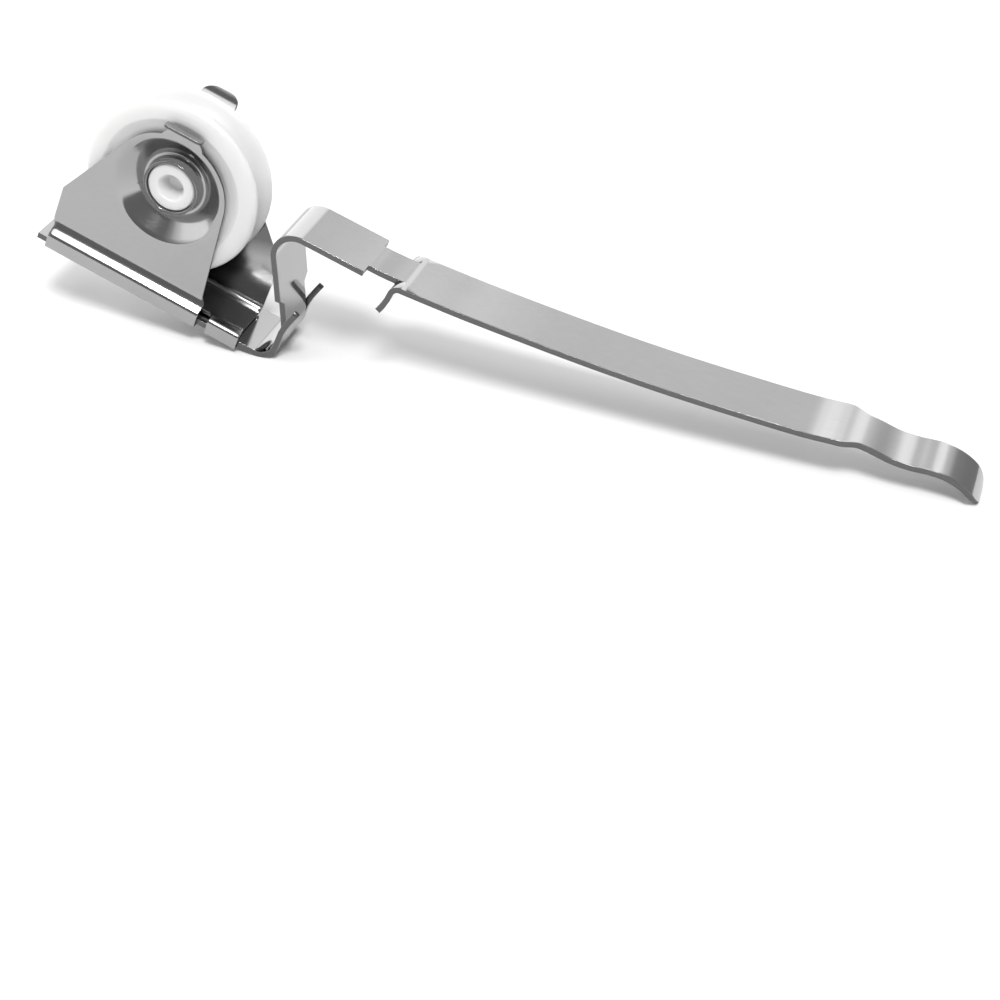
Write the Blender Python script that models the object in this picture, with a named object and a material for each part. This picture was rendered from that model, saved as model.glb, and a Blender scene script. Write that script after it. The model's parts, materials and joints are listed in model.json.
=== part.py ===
# Spring-loaded sliding-door roller: a grooved nylon wheel carried between two
# pressed side plates that are crimped round the foot of a bent leaf spring.
#
# The object is laid out in its own working frame, in millimetres:
#   x  along the foot of the spring, from the free end of the foot to the arm
#   y  along the wheel's axis, the front side plate at -y
#   z  up from the foot towards the wheel
# with the wheel's axis at x = z = 0. One empty then lays the whole roller down
# as it rests on a table, on the heel bend of the spring and the arm's tip.

import bpy
import bmesh
import math
from mathutils import Matrix, Vector

MM = 0.001

# ---------------------------------------------------------------- dimensions
# wheel (1-1/4 inch)
WHEEL_R = 15.875
CREST_Y = 3.15            # the two rolling crests stand this far from the middle
WHEEL_HALF = 4.15         # half the width over the flanges
GROOVE_R = 13.2
RECESS_R = 12.3           # inner edge of the flange's side face
WEB_HALF = 0.6
HUB_R = 4.3
HUB_Y = 3.66              # the hub's end face
HUB_BORE_R = 2.3          # tapered blind bore in each end of the hub
HUB_BORE_FLOOR_Y = 0.9

# pressed side plates
SHEET = 0.5
PLATE_Y = 5.0             # outer face of each side plate
DISH_R = 9.85             # edge of the dished cone
VALLEY_R = 5.65           # bottom of the cone
VALLEY_Y = 1.5
COLLAR_RO = 5.0
COLLAR_RI = 4.5
COLLAR_Y = 3.95           # rim of the collar
ARC_R = 10.6              # rounded top of the plate
PLATE_FOOT_Z = -16.0      # row where the flat plate ends and its foot begins
FRONT_LEFT_X = -17.6      # front plate
FRONT_CORNER_Z = -9.7
FRONT_RIGHT_X = 12.1
REAR_RIGHT_X = 20.6       # rear plate
REAR_CORNER_Z = -9.0
REAR_LEFT_X = -12.1
BEAD1_X = (-17.1, 12.8)   # long bead of the front plate
BEAD2_X = (14.9, 21.0)    # short bead of the rear plate
BEAD_WALL_Y = 6.7         # middle of the bead's upright wall

# leaf spring
STRIP_T = 1.05
STRIP_HALF = 6.15
FOOT_Z = -20.45           # middle of the foot strip
FOOT_LEFT_X = -19.1
HEEL_X = 27.45            # middle of the upright part of the heel
HEEL_R = 3.3
NECK_HALF = 4.5
FINGER_IN = 4.85          # inner edge of the two side fingers
LEAN = math.radians(24.0) # lean of the upright towards the wheel
TOP_R = 3.98              # middle radius of the top bend
TOP_C = (25.05, 0.85)
NOTCH_X = (36.6, 42.4)
NOTCH_Y = 3.8
TAB_DROP = 5.7
TIP_HALF = 4.8
TIP_ROUND = 3.0           # rounded corners of the arm's end
SPLIT_GAP = 0.3
FLEX_PIVOT = (26.17, -11.26)   # x, z of the flexing neck
# middle surface of the arm, from the end of the top bend to the tip
ARM_KNOTS = ((NOTCH_X[0], 5.02), (39.5, 5.12), (43.3, 5.47), (50.0, 6.27), (58.0, 7.37),
             (75.0, 10.09), (90.0, 12.95), (105.0, 16.38), (116.5, 19.30),
             (120.0, 20.35), (123.5, 20.95), (127.5, 21.08), (131.0, 21.70),
             (134.0, 22.72), (136.6, 23.22), (139.1, 23.12), (141.3, 22.52),
             (142.75, 21.62), (143.45, 20.75))

RING = 48                 # facets round the wheel's axis


# ------------------------------------------------------------- small geometry
def arc(cx, cy, r, a0, a1, n):
    """Points of an arc, angles in degrees, both ends included."""
    return [(cx + r * math.cos(math.radians(a0 + (a1 - a0) * i / n)),
             cy + r * math.sin(math.radians(a0 + (a1 - a0) * i / n))) for i in range(n + 1)]


def spline(knots, per):
    """Catmull-Rom curve through the knots, per points in each span."""
    k = [tuple(2 * knots[0][i] - knots[1][i] for i in (0, 1))] + list(knots)
    k.append(tuple(2 * knots[-1][i] - knots[-2][i] for i in (0, 1)))
    out = []
    for s in range(1, len(k) - 2):
        for j in range(per):
            t = j / per
            out.append(tuple(0.5 * (2 * k[s][i] + (k[s + 1][i] - k[s - 1][i]) * t
                                    + (2 * k[s - 1][i] - 5 * k[s][i] + 4 * k[s + 1][i] - k[s + 2][i]) * t * t
                                    + (3 * k[s][i] - k[s - 1][i] - 3 * k[s + 1][i] + k[s + 2][i]) * t ** 3)
                             for i in (0, 1)))
    out.append(tuple(knots[-1]))
    return out


def offsets(path, t):
    """The path moved t/2 to each side, mitred: (side a, side b)."""
    n = len(path)
    a, b = [], []
    for i in range(n):
        p = Vector(path[max(i - 1, 0)])
        q = Vector(path[min(i + 1, n - 1)])
        d1 = (Vector(path[i]) - p)
        d2 = (q - Vector(path[i]))
        d1 = d1.normalized() if d1.length > 1e-9 else d2.normalized()
        d2 = d2.normalized() if d2.length > 1e-9 else d1
        m = (d1 + d2).normalized()
        nrm = Vector((m.y, -m.x))
        k = 0.5 * t / max(0.5, nrm.dot(Vector((d1.y, -d1.x))))
        a.append(tuple(Vector(path[i]) + nrm * k))
        b.append(tuple(Vector(path[i]) - nrm * k))
    return a, b


def clean(path, tol=1e-4):
    """Drop points that repeat the one before."""
    out = [path[0]]
    for p in path[1:]:
        if math.dist(p, out[-1]) > tol:
            out.append(p)
    return out


class Sheet:
    """A thin sheet given by pairs of points, one on each face."""

    def __init__(self):
        self.front, self.back, self.faces = [], [], []

    def point(self, f, b):
        self.front.append(f)
        self.back.append(b)
        return len(self.front) - 1

    def quads(self, rows, closed=False, skip=()):
        for i in range(len(rows) - 1):
            r0, r1 = rows[i], rows[i + 1]
            n = len(r0)
            for j in range(n if closed else n - 1):
                if j in skip:
                    continue
                k = (j + 1) % n
                self.faces.append((r0[j], r0[k], r1[k], r1[j]))

    def solid(self):
        """Closed mesh: both faces, and a rim along every free edge."""
        n = len(self.front)
        verts = self.front + self.back
        faces = list(self.faces) + [tuple(v + n for v in reversed(f)) for f in self.faces]
        count = {}
        for f in self.faces:
            for i in range(4):
                e = (f[i], f[(i + 1) % 4])
                count[e] = count.get(e, 0) + 1
        for (a, b) in count:
            if (b, a) not in count:
                faces.append((b, a, a + n, b + n))
        return verts, faces


def make(name, verts, faces, colour, rough, metal, origin=(0, 0, 0), smooth_deg=35):
    """One object from points in mm, its origin moved to `origin`."""
    me = bpy.data.meshes.new(name)
    me.from_pydata([((x - origin[0]) * MM, (y - origin[1]) * MM, (z - origin[2]) * MM) for x, y, z in verts],
                   [], faces)
    bm = bmesh.new()
    bm.from_mesh(me)
    bmesh.ops.remove_doubles(bm, verts=bm.verts, dist=1e-7)
    bmesh.ops.recalc_face_normals(bm, faces=bm.faces)
    bmesh.ops.triangulate(bm, faces=bm.faces, quad_method='FIXED')
    bm.to_mesh(me)
    bm.free()
    me.shade_smooth()
    me.set_sharp_from_angle(angle=math.radians(smooth_deg))
    ob = bpy.data.objects.new(name, me)
    bpy.context.scene.collection.objects.link(ob)
    ob.location = Vector(origin) * MM
    mat = bpy.data.materials.new(name + "_finish")
    mat.use_nodes = True
    p = mat.node_tree.nodes["Principled BSDF"]
    p.inputs["Base Color"].default_value = (*colour, 1)
    p.inputs["Roughness"].default_value = rough
    p.inputs["Metallic"].default_value = metal
    me.materials.append(mat)
    return ob


# ---------------------------------------------------------------------- wheel
def wheel_profile():
    """Half section (r, y) from the middle of one blind bore out to the groove."""
    half = [(0.0, -HUB_BORE_FLOOR_Y), (1.55, -HUB_BORE_FLOOR_Y), (HUB_BORE_R, -HUB_Y + 0.2),
            (HUB_BORE_R + 0.2, -HUB_Y), (HUB_R - 0.25, -HUB_Y), (HUB_R, -HUB_Y + 0.25),
            (HUB_R, -WEB_HALF - 0.25), (HUB_R + 0.25, -WEB_HALF), (6.4, -WEB_HALF),
            (9.7, -3.3), (10.6, -3.62), (RECESS_R - 0.4, -3.78), (RECESS_R + 0.2, -4.04),
            (RECESS_R + 0.5, -WHEEL_HALF), (13.5, -WHEEL_HALF),
            (14.6, -4.02), (15.35, -3.74), (15.76, -3.42), (WHEEL_R, -CREST_Y), (15.78, -2.86),
            (15.45, -2.55), (14.7, -2.05), (13.9, -1.45), (13.4, -0.75), (GROOVE_R, 0.0)]
    return half + [(r, -y) for r, y in reversed(half[:-1])]


def lathe(profile, n):
    """Closed solid turned about the y axis; the profile starts and ends on it."""
    verts, faces, rings = [], [], []
    for r, y in profile:
        if r < 1e-9:
            verts.append((0.0, y, 0.0))
            rings.append([len(verts) - 1])
        else:
            ring = []
            for i in range(n):
                a = 2 * math.pi * i / n
                verts.append((r * math.cos(a), y, r * math.sin(a)))
                ring.append(len(verts) - 1)
            rings.append(ring)
    for r0, r1 in zip(rings, rings[1:]):
        for i in range(n):
            k = (i + 1) % n
            if len(r0) == 1:
                faces.append((r0[0], r1[i], r1[k]))
            elif len(r1) == 1:
                faces.append((r0[i], r1[0], r0[k]))
            else:
                faces.append((r0[i], r1[i], r1[k], r0[k]))
    return verts, faces


# ---------------------------------------------------------------- side plates
def tangent(px, pz, r, side):
    """Normal angle of the line from (px, pz) that touches the circle of radius r."""
    return math.atan2(pz, px) + side * math.acos(r / math.hypot(px, pz))


def plate_outline(left, right, foot_z, extra_x):
    """Outline of a side plate as (angle, radius) seen from the wheel's axis.

    left and right are (x at the foot, z where the upright edge ends or None).
    """
    lx, lz = left
    rx, rz = right
    lines = [(-math.pi / 2, -foot_z)]
    corners = [(lx, foot_z), (rx, foot_z)]
    if lz is not None:
        lines.append((math.pi, -lx))
        corners.append((lx, lz))
        na = tangent(lx, lz, ARC_R, -1)
    else:
        na = tangent(lx, foot_z - 0.9, ARC_R, -1)
    if rz is not None:
        lines.append((0.0, rx))
        corners.append((rx, rz))
        nb = tangent(rx, rz, ARC_R, 1)
    else:
        nb = tangent(rx, foot_z - 0.9, ARC_R, 1)
    na %= 2 * math.pi
    nb %= 2 * math.pi
    lines += [(na, ARC_R), (nb, ARC_R)]

    def radius(a):
        r = 1e9
        for phi, d in lines:
            c = math.cos(a - phi)
            if c > 1e-6:
                r = min(r, d / c)
        top = (a - nb) % (2 * math.pi) <= (na - nb) % (2 * math.pi)
        return ARC_R if top else r

    if lz is None:
        c = (-foot_z) and [x for x in (lx,)]
    special = [math.atan2(z, x) % (2 * math.pi) for x, z in corners] + [na, nb]
    if lz is None or rz is None:
        # foot corner where the sloping edge meets the foot row
        for phi, sgn in ((na, -1), (nb, 1)):
            x = (ARC_R - foot_z * math.sin(phi)) / math.cos(phi) if abs(math.cos(phi)) > 1e-6 else None
            if (sgn < 0 and lz is None) or (sgn > 0 and rz is None):
                special.append(math.atan2(foot_z, x) % (2 * math.pi))
                special = [s for s in special
                           if abs(s - math.atan2(foot_z, lx if sgn < 0 else rx) % (2 * math.pi)) > 1e-9]
    special += [math.atan2(foot_z, x) % (2 * math.pi) for x in extra_x]
    base = [2 * math.pi * i / RING for i in range(RING)]
    out = list(special)
    for a in base:
        if min(abs((a - s + math.pi) % (2 * math.pi) - math.pi) for s in out) > math.radians(2.2):
            out.append(a)
    out.sort()
    return [(a, radius(a)) for a in out]


def plate_sheet(sheet, outline, sign):
    """Collar, cone and flat face of a side plate; sign -1 is the front plate.

    Returns the vertex indices of the outline row.
    """
    t = SHEET
    rows = [((COLLAR_RO, COLLAR_Y), (COLLAR_RI, COLLAR_Y)),
            ((COLLAR_RO, VALLEY_Y + 0.75), (COLLAR_RI, VALLEY_Y + 0.45)),
            ((5.2, VALLEY_Y + 0.22), (4.72, VALLEY_Y - 0.18)),
            ((VALLEY_R, VALLEY_Y), (5.35, VALLEY_Y - t)),
            ((6.1, VALLEY_Y + 0.28), (6.2, VALLEY_Y - 0.25)),
            ((9.35, PLATE_Y - 0.38), (9.70, PLATE_Y - 0.77)),
            ((DISH_R, PLATE_Y), (10.05, PLATE_Y - t))]
    index = []
    for (rf, yf), (rb, yb) in rows:
        index.append([sheet.point((rf * math.cos(a), sign * yf, rf * math.sin(a)),
                                  (rb * math.cos(a), sign * yb, rb * math.sin(a))) for a, _ in outline])
    last = [sheet.point((r * math.cos(a), sign * PLATE_Y, r * math.sin(a)),
                        (r * math.cos(a), sign * (PLATE_Y - t), r * math.sin(a))) for a, r in outline]
    index.append(last)
    sheet.quads(index, closed=True)
    return last


def foot_columns(outline, foot_z, x0, x1):
    """Positions of the outline row that lie on the straight foot between x0 and x1."""
    cols = []
    for i, (a, r) in enumerate(outline):
        x, z = r * math.cos(a), r * math.sin(a)
        if abs(z - foot_z) < 1e-4 and x0 - 1e-3 <= x <= x1 + 1e-3:
            cols.append((x, i))
    return [i for x, i in sorted(cols)]


def extend(sheet, row, path, t, x_of, flip):
    """Carry a row of the sheet on along a path in the (y, z) plane."""
    a, b = offsets(path, t)
    if flip:
        a, b = b, a
    rows = [row]
    for k in range(1, len(path)):
        new = []
        for v in row:
            x = x_of(sheet.front[v][0], k / (len(path) - 1))
            new.append(sheet.point((x, a[k][0], a[k][1]), (x, b[k][0], b[k][1])))
        rows.append(new)
    sheet.quads(rows)
    return rows


def front_plate():
    s = Sheet()
    outline = plate_outline((FRONT_LEFT_X, FRONT_CORNER_Z), (FRONT_RIGHT_X, None), PLATE_FOOT_Z, ())
    last = plate_sheet(s, outline, -1)
    cols = foot_columns(outline, PLATE_FOOT_Z, -99, 99)
    row = [last[c] for c in cols]
    w = BEAD_WALL_Y
    path = [(-PLATE_Y + SHEET / 2, PLATE_FOOT_Z)]
    path += arc(-6.0, -16.95, 1.25, 0, -90, 4)
    path += arc(-6.05, -18.85, 0.65, 90, 180, 4)
    path += arc(-w + 0.55, -20.9, 0.55, 180, 270, 4)
    path += arc(w - 0.55, -20.9, 0.55, 270, 360, 4)
    path += arc(w - 0.55, -19.9, 0.55, 0, 90, 4)
    path += [(5.4, -19.35)]
    path = clean(path)
    x0, x1 = s.front[row[0]][0], s.front[row[-1]][0]

    def x_of(x, k):
        f = (x - x0) / (x1 - x0)
        k = min(1.0, k * 5)
        return x * (1 - k) + (BEAD1_X[0] + f * (BEAD1_X[1] - BEAD1_X[0])) * k

    extend(s, row, path, SHEET, x_of, False)
    return s


def rear_plate():
    s = Sheet()
    outline = plate_outline((REAR_LEFT_X, None), (REAR_RIGHT_X, REAR_CORNER_Z), PLATE_FOOT_Z, (BEAD2_X[0],))
    last = plate_sheet(s, outline, 1)
    cols = foot_columns(outline, PLATE_FOOT_Z, -99, 99)
    row = [last[c] for c in cols]
    path = [(PLATE_Y - SHEET / 2, PLATE_FOOT_Z)]
    path += arc(3.3, -17.9, 1.45, 0, -90, 5)
    path += [(-3.4, -19.35)]
    rows = extend(s, row, clean(path), SHEET, lambda x, k: x, True)
    # the web's front edge stops short of the front plate, but for the short bead
    end = rows[-1]
    stop = [(-3.4, -19.35), (-4.15, -19.35)]
    short = [v for v in end if s.front[v][0] <= BEAD2_X[0] + 1e-3]
    long = [v for v in end if s.front[v][0] >= BEAD2_X[0] - 1e-3]
    w = BEAD_WALL_Y
    bead = [(-3.4, -19.35), (-4.85, -18.45), (-6.05, -18.6)]
    bead += arc(-w + 0.6, -19.2, 0.6, 90, 180, 4)
    bead += arc(-w + 0.55, -20.9, 0.55, 180, 270, 4)
    bead += [(-3.2, -21.45)]
    bead = clean(bead)
    extend(s, short[:-1] + [short[-1]], stop, SHEET, lambda x, k: x if x < BEAD2_X[0] - 0.01 else BEAD2_X[0] - 0.6,
           True)
    extend(s, long, bead, SHEET,
           lambda x, k: x + (BEAD2_X[1] - REAR_RIGHT_X) * min(1.0, 3 * k) * (x - BEAD2_X[0])
           / (REAR_RIGHT_X - BEAD2_X[0]), True)
    return s


def tab(mid, halves, path, t):
    """A small turned tab: a strip of the sheet swept along a (y, z) path."""
    s = Sheet()
    a, b = offsets(path, t)
    rows = []
    for k in range(len(path)):
        h = halves[min(k, len(halves) - 1)]
        xs = (mid - h, mid - 0.4 * h, mid + 0.4 * h, mid + h)
        rows.append([s.point((x, a[k][0], a[k][1]), (x, b[k][0], b[k][1])) for x in xs])
    s.quads(rows)
    return s


# ---------------------------------------------------------------- leaf spring
def foot_path():
    """Middle line of the foot, heel and the lower half of the neck, and the fingers' line."""
    cx, cz = HEEL_X - HEEL_R, FOOT_Z + HEEL_R
    d = (-math.sin(LEAN), math.cos(LEAN))
    foot = [(FOOT_LEFT_X, FOOT_Z), (0.0, FOOT_Z), (cx - 2.5, FOOT_Z)] + arc(cx, cz, HEEL_R, -90, 0, 8)
    foot.append((HEEL_X, -15.0))
    # corner of the neck, eased
    neck = [(HEEL_X - 0.10, -14.1), (HEEL_X - 0.42, -13.25)]
    s = SPLIT_GAP / 2
    neck.append((FLEX_PIVOT[0] - d[0] * s, FLEX_PIVOT[1] - d[1] * s))
    finger = [(HEEL_X + 0.01, -13.9), (HEEL_X + 0.33, -12.2), (HEEL_X + 0.80, -10.5), (HEEL_X + 0.98, -9.9),
              (HEEL_X + 1.12, -9.45), (HEEL_X + 1.22, -9.12), (HEEL_X + 1.29, -8.92)]
    return clean(foot), neck, finger


def strip_rows(sheet, path, ys, t, share=None, first=None):
    """Rows of points across a strip; `share` is an existing first row."""
    a, b = offsets(path, t)
    rows = []
    for k in range(len(path)):
        if k == 0 and share is not None:
            rows.append(share)
            continue
        y = ys(k) if callable(ys) else ys
        rows.append([sheet.point((a[k][0], v, a[k][1]), (b[k][0], v, b[k][1])) for v in y])
    return rows


def spring_foot():
    s = Sheet()
    foot, neck, finger = foot_path()
    ys = [-STRIP_HALF, -FINGER_IN, -NECK_HALF, 0.0, NECK_HALF, FINGER_IN, STRIP_HALF]
    rows = strip_rows(s, foot, ys, STRIP_T)
    s.quads(rows)
    end = rows[-1]
    mid = strip_rows(s, [foot[-1]] + neck, ys[2:5], STRIP_T, share=end[2:5])
    s.quads(mid)
    for part in (end[0:2], end[5:7]):
        y = [s.front[v][1] for v in part]
        mid, half = 0.5 * (y[0] + y[1]), 0.5 * (y[1] - y[0])
        ends = [1.0] * 5 + [0.93, 0.70, 0.32]
        s.quads(strip_rows(s, [foot[-1]] + finger, lambda k: [mid - half * ends[k], mid + half * ends[k]],
                           STRIP_T, share=part))
    return s


def arm_path():
    """Middle line of the upper neck, the upright, the top bend and the arm."""
    d = (-math.sin(LEAN), math.cos(LEAN))
    g = SPLIT_GAP / 2
    p0 = (FLEX_PIVOT[0] + d[0] * g, FLEX_PIVOT[1] + d[1] * g)
    p1 = (FLEX_PIVOT[0] + d[0] * 1.9, FLEX_PIVOT[1] + d[1] * 1.9)    # neck ends
    p2 = (FLEX_PIVOT[0] + d[0] * 3.1, FLEX_PIVOT[1] + d[1] * 3.1)    # full width
    bend = arc(TOP_C[0], TOP_C[1], TOP_R, 180 + math.degrees(LEAN), 90, 10)
    return [p0, p1, p2] + bend


def spring_arm():
    s = Sheet()
    up = arm_path()
    n_up = len(up)
    arm = spline(ARM_KNOTS, 4)
    before = [ARM_KNOTS[0]]
    after = [p for p in arm if p[0] > NOTCH_X[1] + 2.0]
    notch_b = (NOTCH_X[1] + 1.3, 5.50)
    yy = [-STRIP_HALF, -NOTCH_Y, 0.0, NOTCH_Y, STRIP_HALF]

    def width(x):
        f = min(1.0, max(0.0, (x - 119.0) / 3.6))
        return STRIP_HALF + (TIP_HALF - STRIP_HALF) * f * f * (3 - 2 * f)

    path1 = up + before

    def ys1(k):
        w = NECK_HALF if k < 2 else STRIP_HALF
        return [-w, -NOTCH_Y * w / STRIP_HALF if k < 2 else -NOTCH_Y, 0.0,
                NOTCH_Y * w / STRIP_HALF if k < 2 else NOTCH_Y, w]

    a, b = offsets(path1 + [notch_b] + after, STRIP_T)
    rows1 = []
    for k in range(len(path1)):
        rows1.append([s.point((a[k][0], v, a[k][1]), (b[k][0], v, b[k][1])) for v in ys1(k)])
    s.quads(rows1)
    # waist between the two notches
    off = len(path1)
    row_b = [s.point((a[off][0], v, a[off][1]), (b[off][0], v, b[off][1])) for v in yy]
    s.quads([rows1[-1][1:4], row_b[1:4]])
    rows2 = [row_b]
    mids = [(0.5 * (p[0] + q[0]), 0.5 * (p[1] + q[1])) for p, q in zip(a, b)]
    for k in range(off + 1, len(a)):
        w = width(path2x(a, b, k))
        left = sum(math.dist(mids[j], mids[j + 1]) for j in range(k, len(a) - 1))
        if left < TIP_ROUND:
            w -= TIP_ROUND * (1 - math.sqrt(max(0.0, 1 - ((TIP_ROUND - left) / TIP_ROUND) ** 2)))
        v_in = NOTCH_Y * w / STRIP_HALF
        rows2.append([s.point((a[k][0], v, a[k][1]), (b[k][0], v, b[k][1])) for v in (-w, -v_in, 0.0, v_in, w)])
    s.quads(rows2)
    # the two tabs, turned down from the notches' far ends
    x, z = notch_b
    tab_path = [notch_b] + arc(x - 0.1, z - 1.46, 1.45, 96, 176, 5) + [(x - 1.64, z - 2.7), (x - 1.95, z - 4.3),
                                                                     (x - 2.38, z - TAB_DROP)]
    tab_path = clean(tab_path)
    ta, tb = offsets(tab_path, STRIP_T)
    for lo, hi in ((0, 1), (3, 4)):
        share = [row_b[lo], row_b[hi]]
        vy = [s.front[share[0]][1], s.front[share[1]][1]]
        rows = [share]
        for k in range(1, len(tab_path)):
            # travelling towards -x, so the two faces change sides
            rows.append([s.point((tb[k][0], v, tb[k][1]), (ta[k][0], v, ta[k][1])) for v in vy])
        s.quads([list(reversed(r)) for r in rows])
    return s


def path2x(a, b, k):
    return 0.5 * (a[k][0] + b[k][0])


# ------------------------------------------------------------ lay it on a table
def resting_tilt():
    """Angle about y that puts the heel and the arm's tip on one level."""
    arm, _, _ = [], None, None
    pts = spline(ARM_KNOTS, 4)
    a, b = offsets(pts, STRIP_T)
    tip = [p for p in a + b if p[0] > 120]
    heel = [(HEEL_X - HEEL_R, FOOT_Z + HEEL_R)]
    low, high = 0.0, math.radians(35)
    for _ in range(60):
        m = 0.5 * (low + high)
        lt = min(-x * math.sin(m) + z * math.cos(m) for x, z in tip)
        lh = min(-x * math.sin(m) + z * math.cos(m) for x, z in heel) - HEEL_R - STRIP_T / 2
        if lt > lh:
            low = m
        else:
            high = m
    return 0.5 * (low + high)


def main():
    for ob in list(bpy.data.objects):
        bpy.data.objects.remove(ob, do_unlink=True)

    steel = (0.62, 0.62, 0.63)
    nylon = (0.90, 0.90, 0.88)
    pivot = (FLEX_PIVOT[0], 0.0, FLEX_PIVOT[1])
    parts = {}
    parts["track_wheel"] = make("track_wheel", *lathe(wheel_profile(), RING), nylon, 0.35, 0.0)

    fp = front_plate()
    parts["front_side_plate"] = make("front_side_plate", *fp.solid(), steel, 0.25, 1.0, origin=pivot)
    rp = rear_plate()
    parts["rear_side_plate"] = make("rear_side_plate", *rp.solid(), steel, 0.25, 1.0, origin=pivot)

    # tabs at the top of the plates, both turned outwards; the rear one is longer
    # and has a rounded end
    ft = tab(-0.2, (3.9, 3.1, 2.75, 3.1, 3.4, 3.5, 3.5, 3.4, 2.9),
             clean([(-4.75, 9.9), (-4.75, 10.5), (-4.75, 11.1)] + arc(-5.45, 11.65, 0.70, 0, 80, 4)
                   + [(-6.5, 12.45), (-6.85, 12.49)]), SHEET - 0.02)
    rt = tab(0.2, (3.9, 3.3, 3.3, 3.3, 3.3, 3.25, 3.0, 2.3, 1.3),
             clean([(4.75, 9.9), (4.75, 10.9), (4.75, 12.0), (4.93, 12.8), (5.55, 13.65), (6.45, 14.2),
                    (7.35, 14.5), (8.1, 14.65), (8.5, 14.7)]), SHEET - 0.02)
    for host, extra in (("front_side_plate", ft), ("rear_side_plate", rt)):
        cut = make(host + "_tab", *extra.solid(), steel, 0.25, 1.0, origin=pivot)
        cut.hide_render = True
        cut.display_type = 'WIRE'
        mod = parts[host].modifiers.new("tab", 'BOOLEAN')
        mod.operation = 'UNION'
        mod.solver = 'EXACT'
        mod.object = cut
        parts[host + "_tab"] = cut

    parts["leaf_spring_foot"] = make("leaf_spring_foot", *spring_foot().solid(), steel, 0.22, 1.0, origin=pivot)
    parts["leaf_spring_arm"] = make("leaf_spring_arm", *spring_arm().solid(), steel, 0.22, 1.0, origin=pivot)

    # empties: the whole roller, and the housing that turns on the spring's neck
    lay = bpy.data.objects.new("roller_rest", None)
    bpy.context.scene.collection.objects.link(lay)
    housing = bpy.data.objects.new("housing_pivot", None)
    bpy.context.scene.collection.objects.link(housing)
    housing.location = Vector(pivot) * MM
    housing.parent = lay
    for name, ob in parts.items():
        if name == "leaf_spring_arm":
            ob.parent = lay
        else:
            ob.parent = housing
            ob.location = ob.location - Vector(pivot) * MM

    tilt = resting_tilt()
    turn = Matrix.Rotation(tilt, 4, 'Y')
    lo = Vector((1e9, 1e9, 1e9))
    hi = -lo
    bpy.context.view_layer.update()
    dg = bpy.context.evaluated_depsgraph_get()
    for name, ob in parts.items():
        if ob.hide_render:
            continue
        ev = ob.evaluated_get(dg)
        for v in ev.to_mesh().vertices:
            w = turn @ (ob.matrix_world @ v.co)
            lo = Vector(map(min, lo, w))
            hi = Vector(map(max, hi, w))
        ev.to_mesh_clear()
    lay.rotation_euler = (0.0, tilt, 0.0)
    lay.location = (-(lo.x + hi.x) / 2, -(lo.y + hi.y) / 2, -lo.z)
    bpy.context.view_layer.update()


main()
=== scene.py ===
import bpy
import bmesh
import json
import math
from mathutils import Matrix, Vector


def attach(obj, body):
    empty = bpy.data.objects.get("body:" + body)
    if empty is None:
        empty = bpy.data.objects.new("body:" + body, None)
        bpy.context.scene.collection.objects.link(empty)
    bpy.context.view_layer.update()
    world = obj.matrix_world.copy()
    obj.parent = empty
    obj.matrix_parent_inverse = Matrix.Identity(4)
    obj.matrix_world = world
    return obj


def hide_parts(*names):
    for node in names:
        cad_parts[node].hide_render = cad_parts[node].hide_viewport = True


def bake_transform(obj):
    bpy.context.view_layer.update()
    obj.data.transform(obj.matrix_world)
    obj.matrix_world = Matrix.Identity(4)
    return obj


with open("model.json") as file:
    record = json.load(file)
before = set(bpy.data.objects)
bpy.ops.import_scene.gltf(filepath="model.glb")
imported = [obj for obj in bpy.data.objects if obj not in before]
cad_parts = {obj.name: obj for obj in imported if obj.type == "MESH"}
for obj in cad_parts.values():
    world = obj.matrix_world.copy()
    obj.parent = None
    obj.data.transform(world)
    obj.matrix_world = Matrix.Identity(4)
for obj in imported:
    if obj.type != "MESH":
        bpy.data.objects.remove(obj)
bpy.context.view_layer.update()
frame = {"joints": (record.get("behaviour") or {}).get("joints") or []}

# ------------------------------------------------------------------ the frame
# The pieces are laid out in millimetres in the roller's own working frame: x along
# the spring's foot, y along the wheel's axis, z towards the wheel, origin on the
# wheel's axis. The two joints in the record say how that frame lies in the row frame.
joints = {j["name"]: Vector(j["pos_m"]) for j in frame["joints"]}
wheel_at = joints["wheel_spin"]
flex_at = joints["spring_flex"]
FLEX = (26.17, -11.26)
d_row = flex_at - wheel_at
TILT = math.atan2(FLEX[1], FLEX[0]) - math.atan2(d_row.z, d_row.x)
LAY = Matrix.Translation(wheel_at) @ Matrix.Rotation(TILT, 4, 'Y')


def row(x, y, z):
    return LAY @ Vector((x * 0.001, y * 0.001, z * 0.001))


# ------------------------------------------------------------------ dimensions
SHEET = 0.5
PLATE_Y = 5.0
DISH_R, VALLEY_R, VALLEY_Y = 9.85, 5.65, 1.5
COLLAR_RO, COLLAR_RI, COLLAR_Y = 5.0, 4.5, 3.95
ARC_R = 10.6
FOOT_Z = -16.0
BEAD_W = 6.7
STRIP_T, STRIP_HALF = 1.05, 6.15
STRIP_Z = -20.45
HEEL_X, HEEL_R = 27.45, 3.3
NECK_HALF, FINGER_IN = 4.5, 4.85
LEAN = math.radians(24.0)
TOP_R, TOP_C = 3.98, (25.05, 0.85)
NOTCH_X, NOTCH_Y = (36.6, 42.4), 3.8
TIP_HALF, TIP_ROUND = 4.8, 3.0
ARM_KNOTS = ((36.6, 5.02), (39.5, 5.12), (43.3, 5.47), (50.0, 6.27), (58.0, 7.37),
             (75.0, 10.09), (90.0, 12.95), (105.0, 16.38), (112.8, 18.31), (116.5, 19.43),
             (120.0, 20.47), (123.5, 20.98), (127.5, 21.08), (131.0, 21.70),
             (134.0, 22.72), (136.6, 23.22), (139.1, 23.12), (141.3, 22.52),
             (142.75, 21.62), (143.45, 20.75))
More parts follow.
